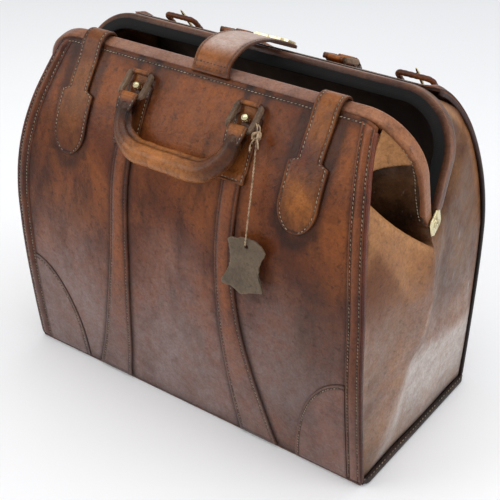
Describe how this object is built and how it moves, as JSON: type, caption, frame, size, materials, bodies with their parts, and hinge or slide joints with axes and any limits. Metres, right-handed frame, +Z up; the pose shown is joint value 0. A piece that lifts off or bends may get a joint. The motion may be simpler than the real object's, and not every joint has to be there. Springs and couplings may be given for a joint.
{
  "type": "gladstone bag",
  "caption": "Soft leather travel bag with a hinged framed mouth standing open, rolled handles on rings, closing straps, a middle tab and a hanging tag.",
  "frame": {"origin": "on the ground under the middle of the flat base", "axes": "+Z up, front wall towards -Y, +X to the right seen from the front"},
  "size_m": [0.449, 0.2636, 0.3847],
  "materials": {
    "panel_hide": "worn, waxed, dark patina",
    "gusset_hide": "soft, creased, orange-brown",
    "trim_hide": "stitched, polished edges",
    "jaw_hide": "rubbed along the rim",
    "strap_hide": "satin, lighter than the panels",
    "grip_hide": "polished by hands",
    "edge_black": "dark dyed edge",
    "tag_hide": "stiff, dark, raw edge",
    "lining_cloth": "black, matt",
    "pulp_board": "pressed fibre board",
    "brass": "old, dull, pale",
    "steel": "blackened strip",
    "rope": "twisted fibre"
  },
  "bodies": {
    "bag_body": {"base_board": "pulp_board", "bottom_leather": "panel_hide", "base_welt": "edge_black", "front_panel": "panel_hide", "rear_panel": "panel_hide", "gusset_left": "gusset_hide", "gusset_right": "gusset_hide", "front_edge_beads": "trim_hide", "rear_edge_beads": "trim_hide", "front_strip_left": "trim_hide", "front_strip_right": "trim_hide", "rear_strip_left": "trim_hide", "rear_strip_right": "trim_hide", "front_corner_patches": "trim_hide", "rear_corner_patches": "trim_hide", "lining_tub": "lining_cloth", "front_lining": "lining_cloth", "rear_lining": "lining_cloth", "hinge_pins": "brass", "hinge_plates": "brass"},
    "front_jaw": {"front_frame": "steel", "front_jaw_cover": "jaw_hide", "strap_left": "strap_hide", "strap_right": "strap_hide", "front_chape_left": "trim_hide", "front_chape_right": "trim_hide", "front_studs": "brass"},
    "rear_jaw": {"rear_frame": "steel", "rear_jaw_cover": "jaw_hide", "rear_chape_left": "trim_hide", "rear_chape_right": "trim_hide", "rear_studs": "brass", "buckle_chape_left": "trim_hide", "buckle_chape_right": "trim_hide", "lock_case": "brass"},
    "tail_left": {"strap_tail_left": "strap_hide"},
    "tail_right": {"strap_tail_right": "strap_hide"},
    "tab": {"center_tab": "strap_hide", "tab_plate": "brass"},
    "front_rings": {"front_ring_left": "brass", "front_ring_right": "brass"},
    "front_handle": {"front_grip": "grip_hide", "front_grip_core": "rope"},
    "rear_rings": {"rear_ring_left": "brass", "rear_ring_right": "brass"},
    "rear_handle": {"rear_grip": "grip_hide", "rear_grip_core": "rope"},
    "left_buckle": {"buckle_left": "trim_hide"},
    "right_buckle": {"buckle_right": "trim_hide"},
    "left_prong": {"prong_left": "brass"},
    "right_prong": {"prong_right": "brass"},
    "slide": {"lock_slide": "brass"},
    "swing_tag": {"tag": "tag_hide", "tag_string": "rope", "tag_knot": "rope"}
  },
  "joints": [
    {"name": "front_jaw_swing", "type": "hinge", "parent": "bag_body", "child": "front_jaw", "pos_m": [0, -0.018, 0.255], "axis": [1, 0, 0], "range_deg": [-13, 12], "deforming": ["front_panel", "front_edge_beads", "front_strip_left", "front_strip_right", "front_lining", "gusset_left", "gusset_right"]},
    {"name": "rear_jaw_swing", "type": "hinge", "parent": "bag_body", "child": "rear_jaw", "pos_m": [0, -0.018, 0.255], "axis": [-1, 0, 0], "range_deg": [-18, 12], "deforming": ["rear_panel", "rear_edge_beads", "rear_strip_left", "rear_strip_right", "rear_lining"]},
    {"name": "tab_lift", "type": "hinge", "parent": "front_jaw", "child": "tab", "pos_m": [0, -0.06091, 0.363], "axis": [1, 0, 0], "range_deg": [0, 70]},
    {"name": "left_tail_swing", "type": "hinge", "parent": "front_jaw", "child": "tail_left", "pos_m": [0, -0.04113, 0.34962], "axis": [1, 0, 0], "range_deg": [-8, 20]},
    {"name": "right_tail_swing", "type": "hinge", "parent": "front_jaw", "child": "tail_right", "pos_m": [0, -0.04113, 0.34962], "axis": [1, 0, 0], "range_deg": [-8, 20]},
    {"name": "front_ring_swing", "type": "hinge", "parent": "front_jaw", "child": "front_rings", "pos_m": [0, -0.07631, 0.34902], "axis": [-1, 0, 0], "range_deg": [0, 120]},
    {"name": "front_handle_swing", "type": "hinge", "parent": "front_rings", "child": "front_handle", "pos_m": [0, -0.09563, 0.33162], "axis": [-1, 0, 0], "range_deg": [0, 20]},
    {"name": "rear_ring_swing", "type": "hinge", "parent": "rear_jaw", "child": "rear_rings", "pos_m": [0, 0.06169, 0.35037], "axis": [1, 0, 0], "range_deg": [0, 100]},
    {"name": "rear_handle_swing", "type": "hinge", "parent": "rear_rings", "child": "rear_handle", "pos_m": [0, 0.0858, 0.34063], "axis": [1, 0, 0], "range_deg": [0, 30]},
    {"name": "left_buckle_fold", "type": "hinge", "parent": "rear_jaw", "child": "left_buckle", "pos_m": [0, 0.08636, 0.32965], "axis": [-1, 0, 0], "range_deg": [0, 90]},
    {"name": "right_buckle_fold", "type": "hinge", "parent": "rear_jaw", "child": "right_buckle", "pos_m": [0, 0.08636, 0.32965], "axis": [-1, 0, 0], "range_deg": [0, 90]},
    {"name": "left_prong_lift", "type": "hinge", "parent": "left_buckle", "child": "left_prong", "pos_m": [0, 0.08636, 0.32965], "axis": [-1, 0, 0], "range_deg": [0, 60]},
    {"name": "right_prong_lift", "type": "hinge", "parent": "right_buckle", "child": "right_prong", "pos_m": [0, 0.08636, 0.32965], "axis": [-1, 0, 0], "range_deg": [0, 60]},
    {"name": "lock_slide_move", "type": "slide", "parent": "rear_jaw", "child": "slide", "axis": [0, -0.2876, 0.9578], "range_m": [0, 0.005]},
    {"name": "tag_swing", "type": "hinge", "parent": "front_rings", "child": "swing_tag", "pos_m": [0.0823, -0.09192, 0.33496], "axis": [-1, 0, 0], "range_deg": [-110, 2]}
  ],
  "couplings": [
    {"joint": "tag_swing", "follows": "front_ring_swing", "ratio": -0.9}
  ]
}
